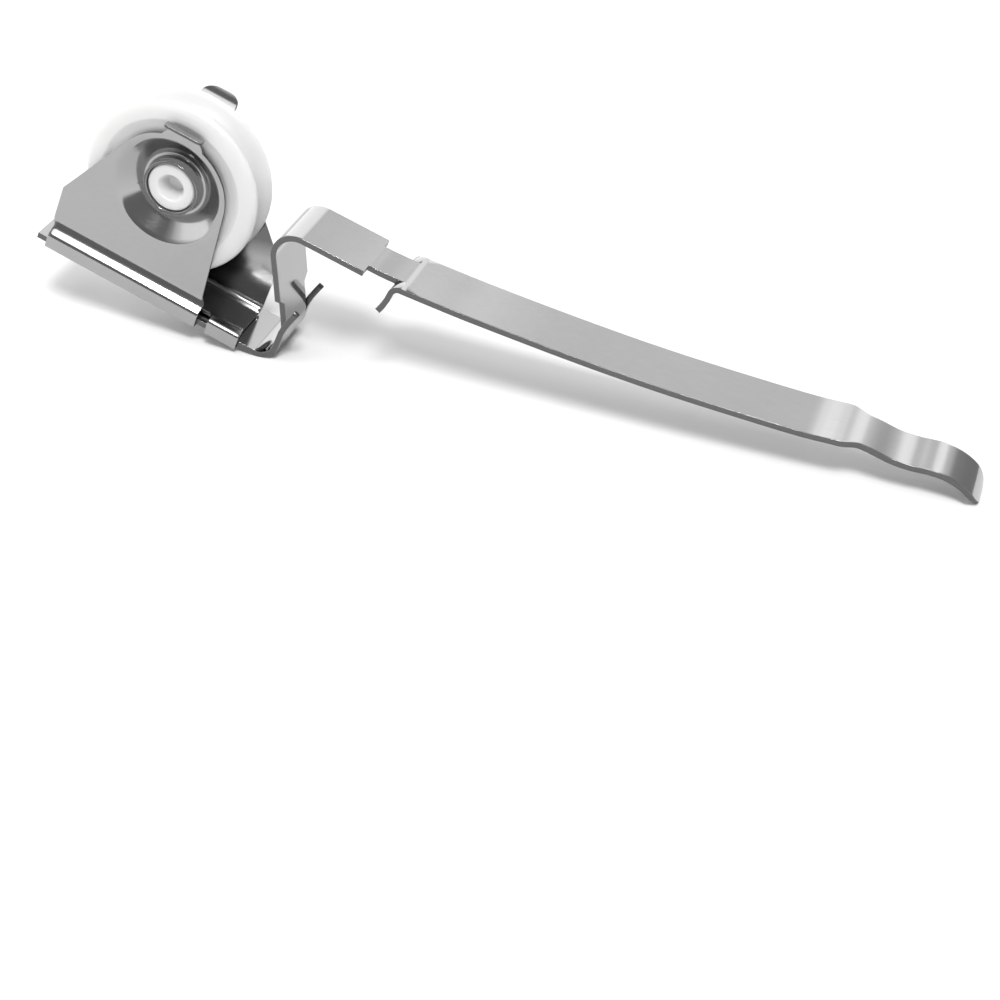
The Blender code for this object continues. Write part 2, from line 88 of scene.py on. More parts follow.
RING = 240


# ------------------------------------------------------------- small geometry
def arc(cx, cy, r, a0, a1, n):
    return [(cx + r * math.cos(math.radians(a0 + (a1 - a0) * i / n)),
             cy + r * math.sin(math.radians(a0 + (a1 - a0) * i / n))) for i in range(n + 1)]


def spline(knots, per):
    k = [tuple(2 * knots[0][i] - knots[1][i] for i in (0, 1))] + list(knots)
    k.append(tuple(2 * knots[-1][i] - knots[-2][i] for i in (0, 1)))
    out = []
    for s in range(1, len(k) - 2):
        for j in range(per):
            t = j / per
            out.append(tuple(0.5 * (2 * k[s][i] + (k[s + 1][i] - k[s - 1][i]) * t
                                    + (2 * k[s - 1][i] - 5 * k[s][i] + 4 * k[s + 1][i] - k[s + 2][i]) * t * t
                                    + (3 * k[s][i] - k[s - 1][i] - 3 * k[s + 1][i] + k[s + 2][i]) * t ** 3)
                             for i in (0, 1)))
    out.append(tuple(knots[-1]))
    return out


def clean(path, tol=1e-4):
    out = [path[0]]
    for p in path[1:]:
        if math.dist(p, out[-1]) > tol:
            out.append(p)
    return out


def offsets(path, t):
    n = len(path)
    a, b = [], []
    for i in range(n):
        d1 = Vector(path[i]) - Vector(path[max(i - 1, 0)])
        d2 = Vector(path[min(i + 1, n - 1)]) - Vector(path[i])
        d1 = d1.normalized() if d1.length > 1e-9 else d2.normalized()
        d2 = d2.normalized() if d2.length > 1e-9 else d1
        m = (d1 + d2).normalized()
        nrm = Vector((m.y, -m.x))
        k = 0.5 * t / max(0.5, nrm.dot(Vector((d1.y, -d1.x))))
        a.append(tuple(Vector(path[i]) + nrm * k))
        b.append(tuple(Vector(path[i]) - nrm * k))
    return a, b


def soften(points, reach, n=4, fixed=()):
    """Round every corner of an open path within reach of the corner."""
    out = [points[0]]
    for i in range(1, len(points) - 1):
        p, c, q = Vector(points[i - 1]), Vector(points[i]), Vector(points[i + 1])
        if i in fixed:
            out.append(tuple(c))
            continue
        r = min(reach, 0.45 * (c - p).length, 0.45 * (q - c).length)
        a = c + (p - c).normalized() * r
        b = c + (q - c).normalized() * r
        for j in range(n + 1):
            t = j / n
            out.append(tuple(a * (1 - t) ** 2 + c * 2 * t * (1 - t) + b * t * t))
    out.append(points[-1])
    return clean(out, 1e-5)


def relax(points, times):
    """Even out the curvature of a path."""
    for _ in range(times):
        points = [points[0]] + [tuple(0.25 * p[i] + 0.5 * c[i] + 0.25 * q[i] for i in (0, 1))
                                for p, c, q in zip(points, points[1:], points[2:])] + [points[-1]]
    return points


class Sheet:
    """A thin sheet given by pairs of points, one on each face."""

    def __init__(self):
        self.front, self.back, self.faces = [], [], []

    def point(self, f, b):
        self.front.append(f)
        self.back.append(b)
        return len(self.front) - 1

    def quads(self, rows, closed=False):
        for r0, r1 in zip(rows, rows[1:]):
            n = len(r0)
            for j in range(n if closed else n - 1):
                k = (j + 1) % n
                if len({r0[j], r0[k], r1[k], r1[j]}) == 4:
                    self.faces.append((r0[j], r0[k], r1[k], r1[j]))

    def solid(self):
        n = len(self.front)
        verts = self.front + self.back
        faces = list(self.faces) + [tuple(v + n for v in reversed(f)) for f in self.faces]
        rim = [0] * len(faces)
        count = set()
        for f in self.faces:
            for i in range(4):
                count.add((f[i], f[(i + 1) % 4]))
        for (a, b) in count:
            if (b, a) not in count:
                faces.append((b, a, a + n, b + n))
                rim.append(1)
        return verts, faces, rim


def build(name, verts, faces, rim, mats, bevel=0.0, segments=2, limit=50, auto=70):
    """A visual mesh in the row frame, its edges eased."""
    me = bpy.data.meshes.new(name)
    me.from_pydata([tuple(row(*v)) for v in verts], [], faces)
    bm = bmesh.new()
    bm.from_mesh(me)
    bm.faces.ensure_lookup_table()
    for f, r in zip(bm.faces, rim):
        f.material_index = r
    bmesh.ops.remove_doubles(bm, verts=bm.verts, dist=2e-7)
    bmesh.ops.recalc_face_normals(bm, faces=bm.faces)
    if bevel > 0:
        edges = [e for e in bm.edges if len(e.link_faces) == 2
                 and e.calc_face_angle(0) > math.radians(limit)]
        bmesh.ops.bevel(bm, geom=edges, offset=bevel * 0.001, offset_type='OFFSET', segments=segments,
                        profile=0.5, affect='EDGES', clamp_overlap=True, material=0)
    bm.to_mesh(me)
    bm.free()
    me.shade_smooth()
    me.set_sharp_from_angle(angle=math.radians(auto))
    ob = bpy.data.objects.new(name, me)
    bpy.context.scene.collection.objects.link(ob)
    for m in mats:
        me.materials.append(m)
    mod = ob.modifiers.new("even_normals", 'WEIGHTED_NORMAL')
    mod.keep_sharp = True
    mod.weight = 80
    mod.thresh = 0.0
    return ob


# ------------------------------------------------------------------- finishes
def node(nt, kind, **kw):
    n = nt.nodes.new(kind)
    for k, v in kw.items():
        setattr(n, k, v)
    return n


def finish_of(name, colour, metal, rough, rough_var, grain, bump, bump_mm, colour_var=0.0, coat=0.0,
              subsurface=0.0, spec=0.5):
    """Principled finish with procedural grain: `grain` is the noise scale along x, y, z per metre."""
    mat = bpy.data.materials.new(name)
    mat.use_nodes = True
    nt = mat.node_tree
    p = nt.nodes["Principled BSDF"]
    p.inputs["Base Color"].default_value = (*colour, 1)
    p.inputs["Metallic"].default_value = metal
    p.inputs["Roughness"].default_value = rough
    p.inputs["Specular IOR Level"].default_value = spec
    if coat:
        p.inputs["Coat Weight"].default_value = coat
        p.inputs["Coat Roughness"].default_value = 0.12
    if subsurface:
        p.inputs["Subsurface Weight"].default_value = subsurface
        p.inputs["Subsurface Radius"].default_value = (0.0030, 0.0029, 0.0028)
        p.inputs["Subsurface Scale"].default_value = 1.0
    tc = node(nt, "ShaderNodeTexCoord")
    mp = node(nt, "ShaderNodeMapping")
    mp.inputs["Scale"].default_value = grain
    nt.links.new(tc.outputs["Object"], mp.inputs["Vector"])
    fine = node(nt, "ShaderNodeTexNoise")
    fine.inputs["Scale"].default_value = 1.0
    fine.inputs["Detail"].default_value = 4.0
    fine.inputs["Roughness"].default_value = 0.6
    nt.links.new(mp.outputs["Vector"], fine.inputs["Vector"])
    broad = node(nt, "ShaderNodeTexNoise")
    broad.inputs["Scale"].default_value = 160.0
    broad.inputs["Detail"].default_value = 2.0
    nt.links.new(tc.outputs["Object"], broad.inputs["Vector"])
    mix = node(nt, "ShaderNodeMath", operation='MULTIPLY_ADD')
    mix.inputs[1].default_value = 0.45
    nt.links.new(broad.outputs["Fac"], mix.inputs[0])
    nt.links.new(fine.outputs["Fac"], mix.inputs[2])
    rr = node(nt, "ShaderNodeMapRange")
    rr.inputs["From Min"].default_value = 0.45
    rr.inputs["From Max"].default_value = 1.0
    rr.inputs["To Min"].default_value = rough - rough_var
    rr.inputs["To Max"].default_value = rough + rough_var
    nt.links.new(mix.outputs[0], rr.inputs["Value"])
    nt.links.new(rr.outputs["Result"], p.inputs["Roughness"])
    if colour_var:
        fr = node(nt, "ShaderNodeMapRange")
        fr.inputs["From Min"].default_value = 0.45
        fr.inputs["From Max"].default_value = 1.0
        nt.links.new(mix.outputs[0], fr.inputs["Value"])
        cr = node(nt, "ShaderNodeMix", data_type='RGBA')
        cr.inputs[6].default_value = (*[c * (1 - colour_var) for c in colour], 1)
        cr.inputs[7].default_value = (*[min(1.0, c * (1 + colour_var)) for c in colour], 1)
        nt.links.new(fr.outputs["Result"], cr.inputs[0])
        nt.links.new(cr.outputs[2], p.inputs["Base Color"])
    if bump:
        b = node(nt, "ShaderNodeBump")
        b.inputs["Strength"].default_value = bump
        b.inputs["Distance"].default_value = bump_mm * 0.001
        nt.links.new(fine.outputs["Fac"], b.inputs["Height"])
        nt.links.new(b.outputs["Normal"], p.inputs["Normal"])
    return mat


sheet_steel = finish_of("pressed_sheet_steel", (0.36, 0.36, 0.362), 1.0, 0.14, 0.025, (500.0, 2600.0, 2600.0),
                        0.03, 0.01, colour_var=0.03)
strip_steel = finish_of("spring_strip_steel", (0.515, 0.515, 0.518), 1.0, 0.12, 0.02, (180.0, 4200.0, 4200.0),
                        0.07, 0.02, colour_var=0.03)
# Painted highlight: the strip's colour is lightened in a band just before the waved tip, standing in for the
# bright reflection there; elsewhere it is scaled to 0.70.
painted_sheen_nt = strip_steel.node_tree
painted_sheen_tc = node(painted_sheen_nt, "ShaderNodeTexCoord")
painted_sheen_xyz = node(painted_sheen_nt, "ShaderNodeSeparateXYZ")
painted_sheen_nt.links.new(painted_sheen_tc.outputs["Object"], painted_sheen_xyz.inputs[0])
painted_sheen_mr = node(painted_sheen_nt, "ShaderNodeMapRange")
painted_sheen_mr.inputs["From Min"].default_value = 0.0500
painted_sheen_mr.inputs["From Max"].default_value = 0.0650
painted_sheen_nt.links.new(painted_sheen_xyz.outputs["X"], painted_sheen_mr.inputs["Value"])
painted_sheen_ramp = node(painted_sheen_nt, "ShaderNodeValToRGB")
painted_sheen_ramp.color_ramp.interpolation = 'EASE'
painted_sheen_ramp.color_ramp.elements[0].position, painted_sheen_ramp.color_ramp.elements[0].color = 0.27, (0.70, 0.70, 0.70, 1)
painted_sheen_ramp.color_ramp.elements[1].position, painted_sheen_ramp.color_ramp.elements[1].color = 0.78, (0.70, 0.70, 0.70, 1)
for pos, v in ((0.42, 0.86), (0.50, 1.0), (0.66, 1.0)):
    painted_sheen_ramp.color_ramp.elements.new(pos).color = (v, v, v, 1)
painted_sheen_nt.links.new(painted_sheen_mr.outputs["Result"], painted_sheen_ramp.inputs["Fac"])
painted_sheen_mul = node(painted_sheen_nt, "ShaderNodeMix", data_type='RGBA', blend_type='MULTIPLY')
painted_sheen_mul.inputs[0].default_value = 1.0
painted_sheen_base = painted_sheen_nt.nodes["Principled BSDF"].inputs["Base Color"]
painted_sheen_nt.links.new(painted_sheen_base.links[0].from_socket, painted_sheen_mul.inputs[6])
painted_sheen_nt.links.new(painted_sheen_ramp.outputs["Color"], painted_sheen_mul.inputs[7])
painted_sheen_nt.links.new(painted_sheen_mul.outputs[2], painted_sheen_base)
cut_edge = finish_of("sheared_edge", (0.13, 0.13, 0.133), 1.0, 0.36, 0.06, (900.0, 900.0, 5000.0),
                     0.25, 0.03, colour_var=0.10)
# Rear plate inner face: painted dark reflection, its colour darkened in a band from about 17 to 33 mm up, standing
# in for the dark neighbouring parts it mirrors; normal tone below and above.
inner_steel_painted_dark = finish_of("inner_face_painted_dark_reflection", (0.36, 0.36, 0.362), 1.0, 0.16, 0.03, (500.0, 2600.0, 2600.0),
                        0.02, 0.01)
painted_dark_nt = inner_steel_painted_dark.node_tree
painted_dark_tc = node(painted_dark_nt, "ShaderNodeTexCoord")
painted_dark_xyz = node(painted_dark_nt, "ShaderNodeSeparateXYZ")
painted_dark_nt.links.new(painted_dark_tc.outputs["Object"], painted_dark_xyz.inputs[0])
painted_dark_mr = node(painted_dark_nt, "ShaderNodeMapRange")
painted_dark_mr.inputs["From Min"].default_value = 0.0
painted_dark_mr.inputs["From Max"].default_value = 0.045
painted_dark_nt.links.new(painted_dark_xyz.outputs["Z"], painted_dark_mr.inputs["Value"])
painted_dark_band = node(painted_dark_nt, "ShaderNodeValToRGB")
painted_dark_band.color_ramp.elements[0].position, painted_dark_band.color_ramp.elements[0].color = 0.30, (0.36, 0.36, 0.362, 1)
painted_dark_band.color_ramp.elements[1].position, painted_dark_band.color_ramp.elements[1].color = 0.90, (0.38, 0.38, 0.382, 1)
for pos, v in ((0.38, 0.14), (0.74, 0.14)):
    painted_dark_band.color_ramp.elements.new(pos).color = (v, v, v, 1)
painted_dark_nt.links.new(painted_dark_mr.outputs["Result"], painted_dark_band.inputs["Fac"])
painted_dark_nt.links.new(painted_dark_band.outputs["Color"], painted_dark_nt.nodes["Principled BSDF"].inputs["Base Color"])
nylon = finish_of("moulded_nylon", (0.65, 0.65, 0.648), 0.0, 0.42, 0.05, (1500.0, 1500.0, 1500.0),
                  0.05, 0.02, colour_var=0.008, subsurface=0.7)


# ---------------------------------------------------------------------- wheel
def wheel_points():
    half = [(0.0, -0.9), (1.55, -0.9), (2.3, -3.46), (2.5, -3.66), (4.05, -3.66), (4.3, -3.41),
            (4.3, -0.85), (4.55, -0.6), (6.4, -0.6), (9.7, -3.3), (10.6, -3.62), (11.9, -3.78),
            (12.5, -4.04), (12.8, -4.15), (13.5, -4.15), (14.6, -4.02), (15.35, -3.74), (15.76, -3.42),
            (15.875, -3.15), (15.78, -2.86), (15.45, -2.55), (14.7, -2.05), (13.9, -1.45), (13.4, -0.75),
            (13.2, 0.0)]
    full = half + [(r, -y) for r, y in reversed(half[:-1])]
    return soften(full, 0.35, 3, fixed=(18, len(full) - 19))


def lathe(profile, n):
    verts, faces, rings = [], [], []
    for r, y in profile:
        if r < 1e-9:
            verts.append((0.0, y, 0.0))
            rings.append([len(verts) - 1])
        else:
            rings.append(list(range(len(verts), len(verts) + n)))
            verts += [(r * math.cos(2 * math.pi * i / n), y, r * math.sin(2 * math.pi * i / n)) for i in range(n)]
    for r0, r1 in zip(rings, rings[1:]):
        for i in range(n):
            k = (i + 1) % n
            if len(r0) == 1:
                faces.append((r0[0], r1[i], r1[k]))
            elif len(r1) == 1:
                faces.append((r0[i], r1[0], r0[k]))
            else:
                faces.append((r0[i], r1[i], r1[k], r0[k]))
    return verts, faces, [0] * len(faces)


# ---------------------------------------------------------------- side plates
def tangent(px, pz, r, side):
    return math.atan2(pz, px) + side * math.acos(r / math.hypot(px, pz))


def plate_outline(lx, lz, rx, rz, extra):
    """Outline of a side plate as (angle, radius) from the wheel's axis."""
    lines = [(-math.pi / 2, -FOOT_Z)]
    special = []
    na = tangent(lx, lz if lz is not None else FOOT_Z - 0.9, ARC_R, -1) % (2 * math.pi)
    nb = tangent(rx, rz if rz is not None else FOOT_Z - 0.9, ARC_R, 1) % (2 * math.pi)
    for x, z, phi in ((lx, lz, na), (rx, rz, nb)):
        if z is not None:
            lines.append((math.pi if x < 0 else 0.0, abs(x)))
            special += [math.atan2(z, x), math.atan2(FOOT_Z, x)]
        else:
            xf = (ARC_R - FOOT_Z * math.sin(phi)) / math.cos(phi)
            special.append(math.atan2(FOOT_Z, xf))
    lines += [(na, ARC_R), (nb, ARC_R)]
    special += [na, nb] + [math.atan2(FOOT_Z, x) for x in extra]

    def radius(a):
        if (a - nb) % (2 * math.pi) <= (na - nb) % (2 * math.pi):
            return ARC_R
        return min(d / math.cos(a - phi) for phi, d in lines if math.cos(a - phi) > 1e-6)

    out = [s % (2 * math.pi) for s in special]
    for i in range(RING):
        a = 2 * math.pi * i / RING
        if min(abs((a - s + math.pi) % (2 * math.pi) - math.pi) for s in out[:len(special)]) > math.radians(0.5):
            out.append(a)
    out.sort()
    return [(a, radius(a)) for a in out]


def plate_sheet(sheet, outline, sign):
    t = SHEET
    front = [(COLLAR_RO, COLLAR_Y), (COLLAR_RO, VALLEY_Y + 0.62), (5.12, VALLEY_Y + 0.25), (5.35, VALLEY_Y + 0.05),
             (VALLEY_R, VALLEY_Y), (5.95, VALLEY_Y + 0.10), (6.25, VALLEY_Y + 0.34),
             (9.15, PLATE_Y - 0.52), (9.50, PLATE_Y - 0.25), (9.85, PLATE_Y - 0.07), (10.15, PLATE_Y)]
    back = [(COLLAR_RI, COLLAR_Y), (COLLAR_RI, VALLEY_Y + 0.45), (4.62, VALLEY_Y), (4.95, VALLEY_Y - 0.36),
            (5.45, VALLEY_Y - t), (6.0, VALLEY_Y - 0.42), (6.55, VALLEY_Y - 0.02),
            (9.48, PLATE_Y - 0.90), (9.82, PLATE_Y - 0.66), (10.12, PLATE_Y - 0.53), (10.35, PLATE_Y - t)]
    index = []
    for (rf, yf), (rb, yb) in zip(front, back):
        index.append([sheet.point((rf * math.cos(a), sign * yf, rf * math.sin(a)),
                                  (rb * math.cos(a), sign * yb, rb * math.sin(a))) for a, _ in outline])
    last = [sheet.point((r * math.cos(a), sign * PLATE_Y, r * math.sin(a)),
                        (r * math.cos(a), sign * (PLATE_Y - t), r * math.sin(a))) for a, r in outline]
    index.append(last)
    sheet.quads(index, closed=True)
    return last


def foot_row(outline, last):
    cols = sorted((r * math.cos(a), last[i]) for i, (a, r) in enumerate(outline)
                  if abs(r * math.sin(a) - FOOT_Z) < 1e-4)
    return [i for _, i in cols]


def extend(sheet, row_, path, t, x_of, flip):
    a, b = offsets(path, t)
    if flip:
        a, b = b, a
    rows = [row_]
    for k in range(1, len(path)):
        rows.append([sheet.point((x_of(sheet.front[v][0], k / (len(path) - 1)), *a[k]),
                                 (x_of(sheet.front[v][0], k / (len(path) - 1)), *b[k])) for v in row_])
    sheet.quads(rows)
    return rows


def raise_tab(sheet, outline, last, half, mid, halves, path, sign):
    """Carry the top of the plate on into a turned tab."""
    cols = sorted((r * math.cos(a), last[i]) for i, (a, r) in enumerate(outline)
                  if math.sin(a) > 0 and abs(r * math.cos(a) - mid) <= half)
    row_ = [i for _, i in cols]
    a, b = offsets(path, SHEET)
    x0, x1 = cols[0][0], cols[-1][0]
    rows = [row_]
    for k in range(1, len(path)):
        new = []
        for x, v in cols:
            u = 2 * (x - x0) / (x1 - x0) - 1
            nx = mid + halves[k] * u
            f = max(0.0, 1 - k / 3.0)
            dz = (sheet.front[v][2] - ARC_R) * f
            pf, pb = (a[k], b[k]) if sign > 0 else (b[k], a[k])
            new.append(sheet.point((nx, pf[0], pf[1] + dz), (nx, pb[0], pb[1] + dz)))
        rows.append(new)
    sheet.quads([list(reversed(r)) for r in rows])


def widths(path, base, waist, full, end_round, waist_at, full_at):
    """Half-width of a tab at each point of its path."""
    s = [0.0]
    for p, q in zip(path, path[1:]):
        s.append(s[-1] + math.dist(p, q))
    out = []
    for d in s:
        if d <= waist_at:
            t = d / waist_at
            w = base + (waist - base) * math.sin(0.5 * math.pi * t)
        else:
            t = min(1.0, (d - waist_at) / (full_at - waist_at))
            w = waist + (full - waist) * t * t * (3 - 2 * t)
        left = s[-1] - d
        if left < end_round:
            w -= end_round * (1 - math.sqrt(max(0.0, 1 - ((end_round - left) / end_round) ** 2)))
        out.append(max(0.35, w))
    return out


def resample(path, step):
    out = [path[0]]
    for p, q in zip(path, path[1:]):
        n = max(1, int(math.ceil(math.dist(p, q) / step)))
        out += [(p[0] + (q[0] - p[0]) * i / n, p[1] + (q[1] - p[1]) * i / n) for i in range(1, n + 1)]
    return out


def front_plate():
    s = Sheet()
    outline = plate_outline(-17.6, -9.7, 12.1, None, ())
    last = plate_sheet(s, outline, -1)
    r = foot_row(outline, last)
    w = BEAD_W
    path = arc(-7.45, FOOT_Z, 2.7, 0, -54.5, 22)
    path += soften([path[-1], (-6.24, -18.47), (-6.57, -18.74), (-w, -19.05), (-w, -19.9)], 0.25, 5)[1:]
    path += arc(-w + 0.55, -20.9, 0.55, 180, 270, 8)
    path += arc(w - 0.55, -20.9, 0.55, 270, 360, 8)
    path += arc(w - 0.55, -19.9, 0.55, 0, 90, 8)
    path += [(5.4, -19.35)]
    x0, x1 = s.front[r[0]][0], s.front[r[-1]][0]

    def x_of(x, k):
        f = (x - x0) / (x1 - x0)
        k = min(1.0, k * 5)
        k = k * k * (3 - 2 * k)
        return x * (1 - k) + (-17.1 + f * 29.9) * k

    extend(s, r, clean(path), SHEET, x_of, False)
    tp = resample(clean([(-4.75, 10.6), (-4.75, 11.35)] + arc(-5.45, 11.65, 0.70, 0, 80, 8)
                        + [(-6.5, 12.45), (-6.85, 12.49)]), 0.16)
    raise_tab(s, outline, last, 3.9, -0.2, widths(tp, 3.9, 2.8, 3.5, 0.6, 0.9, 1.9), tp, -1)
    return s


def rear_plate():
    s = Sheet()
    outline = plate_outline(-12.1, None, 20.6, -9.0, (14.9,))
    last = plate_sheet(s, outline, 1)
    r = foot_row(outline, last)
    path = [(PLATE_Y - SHEET / 2, FOOT_Z), (PLATE_Y - SHEET / 2, FOOT_Z - 0.8)]
    path += arc(3.3, -17.9, 1.45, 0, -90, 12)
    path += [(-3.4, -19.35)]
    rows = extend(s, r, clean(path), SHEET, lambda x, k: x, True)
    end = rows[-1]
    short = [v for v in end if s.front[v][0] <= 14.9 + 1e-3]
    long = [v for v in end if s.front[v][0] >= 14.9 - 1e-3]
    w = BEAD_W
    bead = soften([(-3.4, -19.35), (-4.85, -18.45), (-6.05, -18.6)], 0.5, 6)
    bead += arc(-w + 0.6, -19.2, 0.6, 90, 180, 10)
    bead += arc(-w + 0.55, -20.9, 0.55, 180, 270, 8)
    bead += [(-3.2, -21.45)]
    extend(s, short, [(-3.4, -19.35), (-4.15, -19.35)], SHEET, lambda x, k: x if x < 14.89 else 14.3, True)
    extend(s, long, clean(bead), SHEET,
           lambda x, k: x + 0.4 * min(1.0, 3 * k) * (x - 14.9) / (20.6 - 14.9), True)
    tp = resample(spline(((4.75, 10.6), (4.75, 12.0), (4.93, 12.8), (5.55, 13.65), (6.45, 14.2), (7.35, 14.5),
                          (8.1, 14.65), (8.5, 14.7)), 3), 0.3)
    raise_tab(s, outline, last, 3.9, 0.2, widths(tp, 3.9, 3.25, 3.35, 2.6, 0.9, 1.8), tp, 1)
    return s


# ---------------------------------------------------------------- leaf spring
def leaf_spring():
    """The whole strip in one piece; returns the sheet and the points of the fingers."""
    s = Sheet()
    cx, cz = HEEL_X - HEEL_R, STRIP_Z + HEEL_R
    foot = [(-19.1, STRIP_Z), (-10.0, STRIP_Z), (0.0, STRIP_Z), (12.0, STRIP_Z), (cx - 2.5, STRIP_Z)]
    foot += arc(cx, cz, HEEL_R, -90, 0, 24) + [(HEEL_X, -16.0), (HEEL_X, -15.0)]
    foot = clean(foot)
    d = (-math.sin(LEAN), math.cos(LEAN))
    up = [(HEEL_X - 0.03, -14.55), (HEEL_X - 0.12, -14.1), (HEEL_X - 0.27, -13.65), (HEEL_X - 0.46, -13.2)]
    for k in (-1.1, -0.5, 0.1, 0.7, 1.3, 1.9, 2.3, 2.7, 3.1, 4.2, 6.0, 8.0):
        up.append((26.17 + d[0] * k, -11.26 + d[1] * k))
    bend = arc(TOP_C[0], TOP_C[1], TOP_R, 180 + math.degrees(LEAN), 90, 36)
    ys = [-STRIP_HALF, -FINGER_IN, -NECK_HALF, 0.0, NECK_HALF, FINGER_IN, STRIP_HALF]
    a, b = offsets(foot, STRIP_T)
    rows = [[s.point((a[k][0], y, a[k][1]), (b[k][0], y, b[k][1])) for y in ys] for k in range(len(foot))]
    s.quads(rows)
    end = rows[-1]
    # fingers
    finger = [foot[-1]] + spline(((HEEL_X + 0.01, -13.9), (HEEL_X + 0.33, -12.2), (HEEL_X + 0.80, -10.5),
                                  (HEEL_X + 1.29, -8.92)), 8)
    lengths = [0.0]
    for p, q in zip(finger, finger[1:]):
        lengths.append(lengths[-1] + math.dist(p, q))
    fa, fb = offsets(finger, STRIP_T)
    fingers = []
    for part in (end[0:2], end[5:7]):
        y0, y1 = s.front[part[0]][1], s.front[part[1]][1]
        mid, half = 0.5 * (y0 + y1), 0.5 * (y1 - y0)
        rr = [part]
        for k in range(1, len(finger)):
            left = lengths[-1] - lengths[k]
            h = half
            if left < half:
                h = half * math.sqrt(max(0.02, 1 - ((half - left) / half) ** 2))
            rr.append([s.point((fa[k][0], mid - h, fa[k][1]), (fb[k][0], mid - h, fb[k][1])),
                       s.point((fa[k][0], mid + h, fa[k][1]), (fb[k][0], mid + h, fb[k][1]))])
            fingers += rr[-1]
        s.quads(rr)
    # neck, upright, top bend and flat length
    path = [foot[-1]] + up + bend + [(30.0, 4.83 + (30.0 - 25.05) * 0.01645), ARM_KNOTS[0]]
    path = clean(path)
    nb = (NOTCH_X[1] + 1.3, 5.50)
    arm = [p for p in relax(spline(ARM_KNOTS, 14), 14) if p[0] > NOTCH_X[1] + 1.7]
    waist = [p for p in spline(ARM_KNOTS, 6) if NOTCH_X[0] + 0.3 < p[0] < nb[0] - 0.3]
    full_path = path + waist + [nb] + arm
    a, b = offsets(full_path, STRIP_T)
    n1, n2 = len(path), len(path) + len(waist)
    rows1 = [end[2:5]]
    prev = [end[2], end[3], end[4]]
    neck_rows = [prev]
    wide = None
    for k in range(1, n1):
        # distance past the flexing line decides the width
        along = (full_path[k][0] - 26.17) * d[0] + (full_path[k][1] + 11.26) * d[1]
        if along < 1.85 and full_path[k][1] < -8:
            neck_rows.append([s.point((a[k][0], y, a[k][1]), (b[k][0], y, b[k][1]))
                              for y in (-NECK_HALF, 0.0, NECK_HALF)])
        else:
            f = min(1.0, max(0.0, (along - 1.9) / 1.2)) if full_path[k][1] < -8 else 1.0
            w = NECK_HALF + (STRIP_HALF - NECK_HALF) * f
            vi = NOTCH_Y if full_path[k][0] > 29 and full_path[k][1] > 4 else w - 0.3
            r = [s.point((a[k][0], y, a[k][1]), (b[k][0], y, b[k][1])) for y in (-w, -vi, 0.0, vi, w)]
            if wide is None:
                wide = [r]
                # join the three-point neck to the five-point strip
                last = neck_rows[-1]
                s.quads(neck_rows)
                s.faces.append((last[0], last[1], r[1], r[0]))
                s.faces.append((last[1], last[2], r[4], r[3]))
                s.faces.append((last[1], r[3], r[2], r[1]))
            else:
                wide.append(r)
    s.quads(wide)
    a_row = wide[-1]
    mids = [a_row[1:4]]
    for k in range(n1, n2):
        mids.append([s.point((a[k][0], y, a[k][1]), (b[k][0], y, b[k][1])) for y in (-NOTCH_Y, 0.0, NOTCH_Y)])
    off = n2
    yy = [-STRIP_HALF, -NOTCH_Y, 0.0, NOTCH_Y, STRIP_HALF]
    row_b = [s.point((a[off][0], y, a[off][1]), (b[off][0], y, b[off][1])) for y in yy]
    mids.append(row_b[1:4])
    s.quads(mids)
    rows2 = [row_b]
    rest = [0.0]
    for k in range(len(full_path) - 1, off, -1):
        rest.insert(0, rest[0] + math.dist(full_path[k], full_path[k - 1]))
    for k in range(off + 1, len(full_path)):
        x = full_path[k][0]
        f = min(1.0, max(0.0, (x - 119.0) / 3.6))
        w = STRIP_HALF + (TIP_HALF - STRIP_HALF) * f * f * (3 - 2 * f)
        left = rest[k - off]
        if left < TIP_ROUND:
            w -= TIP_ROUND * (1 - math.sqrt(max(0.0, 1 - ((TIP_ROUND - left) / TIP_ROUND) ** 2)))
        g = min(1.0, (k - off) / 6)
        vi = NOTCH_Y * (1 - g) + (w - 0.3) * g
        rows2.append([s.point((a[k][0], y, a[k][1]), (b[k][0], y, b[k][1])) for y in (-w, -vi, 0.0, vi, w)])
    s.quads(rows2)
    # locking tabs
    x, z = nb
    tp = [nb] + arc(x - 0.1, z - 1.46, 1.45, 96, 176, 14) + spline(((x - 1.64, z - 2.7), (x - 1.95, z - 4.3),
                                                                  (x - 2.38, z - 5.7)), 6)
    tp = clean(tp)
    ta, tb = offsets(tp, STRIP_T)
    for lo, hi in ((0, 1), (3, 4)):
        share = [row_b[lo], row_b[hi]]
        vy = [s.front[share[0]][1], s.front[share[1]][1]]
        rr = [share] + [[s.point((tb[k][0], v, tb[k][1]), (ta[k][0], v, ta[k][1])) for v in vy]
                        for k in range(1, len(tp))]
        s.quads([list(reversed(r)) for r in rr])
    return s, fingers


# ------------------------------------------------------------------ the pieces
wheel = build("nylon_track_wheel", *lathe(wheel_points(), 256), [nylon], auto=40)
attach(wheel, "wheel")
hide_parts("track_wheel")

plate_a = build("pressed_front_plate", *front_plate().solid(), [sheet_steel, cut_edge], bevel=0.07)
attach(plate_a, "housing")
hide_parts("front_side_plate")

rear_verts, rear_faces, rear_rim = rear_plate().solid()
# The rear plate's inner faces take the finish with the painted dark reflection.
inner = rear_rim.index(1) // 2
rear_rim = [2 if inner <= i < 2 * inner else r for i, r in enumerate(rear_rim)]
plate_b = build("pressed_rear_plate", rear_verts, rear_faces, rear_rim, [sheet_steel, cut_edge, inner_steel_painted_dark],
                bevel=0.07)
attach(plate_b, "housing")
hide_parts("rear_side_plate")

strip, finger_points = leaf_spring()
spring = build("bent_leaf_spring", *strip.solid(), [strip_steel, cut_edge], bevel=0.14, auto=80)
